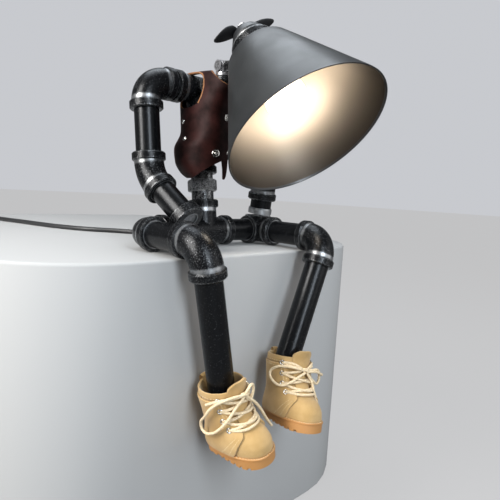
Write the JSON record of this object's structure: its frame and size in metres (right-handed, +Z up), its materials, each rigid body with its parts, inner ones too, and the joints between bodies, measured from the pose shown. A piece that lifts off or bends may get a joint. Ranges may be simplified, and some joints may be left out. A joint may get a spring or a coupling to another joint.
{
  "type": "desk lamp",
  "caption": "Desk lamp as a seated robot of pipe fittings: conical shade head on a tilting, swivelling neck, butterfly switch, turning arm and knees, vest, boots and free cord.",
  "frame": {"origin": "on the seat plane, under the centre of the pelvis tee", "axes": "+Z up, -Y the way the robot faces, +X the robot's left side"},
  "size_m": [0.2686, 0.5312, 0.3485],
  "materials": {
    "fitting_iron": "satin black with silver wear on the beads",
    "pipe_black": "satin black",
    "thread_steel": "dark zinc",
    "knuckle_steel": "satin nickel",
    "shade_paint": "matt charcoal outside, warm satin inside",
    "cap_black": "satin black",
    "lampholder": "satin",
    "brass_base": "satin",
    "bulb_glass": "frosted",
    "switch_black": "satin black",
    "vest_leather": "dark brown, waxed",
    "boot_leather": "wheat nubuck",
    "sole_rubber": "matt orange",
    "cord_black": "matt black",
    "pin_metal": "satin"
  },
  "bodies": {
    "frame": {"pelvis_tee": "fitting_iron", "right_hip_nipple": "pipe_black", "left_hip_nipple": "pipe_black", "right_hip_elbow": "fitting_iron", "left_hip_corner": "fitting_iron", "right_thigh_pipe": "pipe_black", "left_thigh_pipe": "pipe_black", "hand_bushing": "thread_steel", "waist_nipple": "thread_steel", "torso_coupling": "fitting_iron", "torso_pipe": "pipe_black", "shoulder_tee": "fitting_iron", "right_shoulder_nipple": "pipe_black", "left_shoulder_nipple": "pipe_black", "left_shoulder_elbow": "fitting_iron", "left_upper_arm": "pipe_black", "left_elbow": "fitting_iron", "left_forearm_pipe": "pipe_black", "left_forearm_coupling": "fitting_iron", "left_wrist_pipe": "pipe_black", "neck_stub": "knuckle_steel", "neck_elbow": "knuckle_steel", "vest": "vest_leather", "strain_relief": "cord_black", "cord_tube": "cord_black", "cord_coil": "cord_black", "plug_body": "cord_black", "plug_pins": "pin_metal"},
    "right_arm": {"right_shoulder_elbow": "fitting_iron", "right_upper_arm": "pipe_black"},
    "right_forearm": {"right_elbow": "fitting_iron", "right_forearm_pipe": "pipe_black", "right_hand": "thread_steel"},
    "right_leg": {"right_knee_elbow": "fitting_iron", "right_shin_pipe": "pipe_black", "right_boot": "boot_leather", "right_sole": "sole_rubber"},
    "left_leg": {"left_knee_elbow": "fitting_iron", "left_shin_pipe": "pipe_black", "left_boot": "boot_leather", "left_sole": "sole_rubber"},
    "swivel": {"swivel_fork": "knuckle_steel", "swivel_pin": "knuckle_steel"},
    "head": {"head_link": "knuckle_steel", "holder_cap": "cap_black", "shade": "shade_paint", "shade_ring": "cap_black", "lampholder": "lampholder", "bulb_base": "brass_base", "bulb_glass": "bulb_glass"},
    "switch": {"switch_stem": "knuckle_steel", "switch_handle": "switch_black", "handle_nut": "knuckle_steel"}
  },
  "joints": [
    {"name": "neck_swivel", "type": "hinge", "parent": "frame", "child": "swivel", "pos_m": [0, -0.018, 0.151], "axis": [0, 0, 1], "range_deg": [-40, 40]},
    {"name": "head_tilt", "type": "hinge", "parent": "swivel", "child": "head", "pos_m": [0, -0.018, 0.159], "axis": [1, 0, 0], "range_deg": [-35, 6]},
    {"name": "switch_turn", "type": "hinge", "parent": "head", "child": "switch", "pos_m": [0, -0.04404, 0.18163], "axis": [0, 0.6561, 0.7547], "range_deg": [0, 90]},
    {"name": "right_shoulder", "type": "hinge", "parent": "frame", "child": "right_arm", "pos_m": [-0.0565, 0.01802, 0.14244], "axis": [1, 0, 0], "range_deg": [-15, 0.5]},
    {"name": "right_elbow", "type": "hinge", "parent": "right_arm", "child": "right_forearm", "pos_m": [-0.0565, 0.00654, 0.06074], "axis": [0, 0.1392, 0.9903], "range_deg": [0, 25]},
    {"name": "right_knee", "type": "hinge", "parent": "frame", "child": "right_leg", "pos_m": [-0.07, -0.088, 0.0142], "axis": [0, 1, 0], "range_deg": [-2, 20]},
    {"name": "left_knee", "type": "hinge", "parent": "frame", "child": "left_leg", "pos_m": [0.07, -0.088, 0.0142], "axis": [0, 1, 0], "range_deg": [-25, 2]}
  ]
}
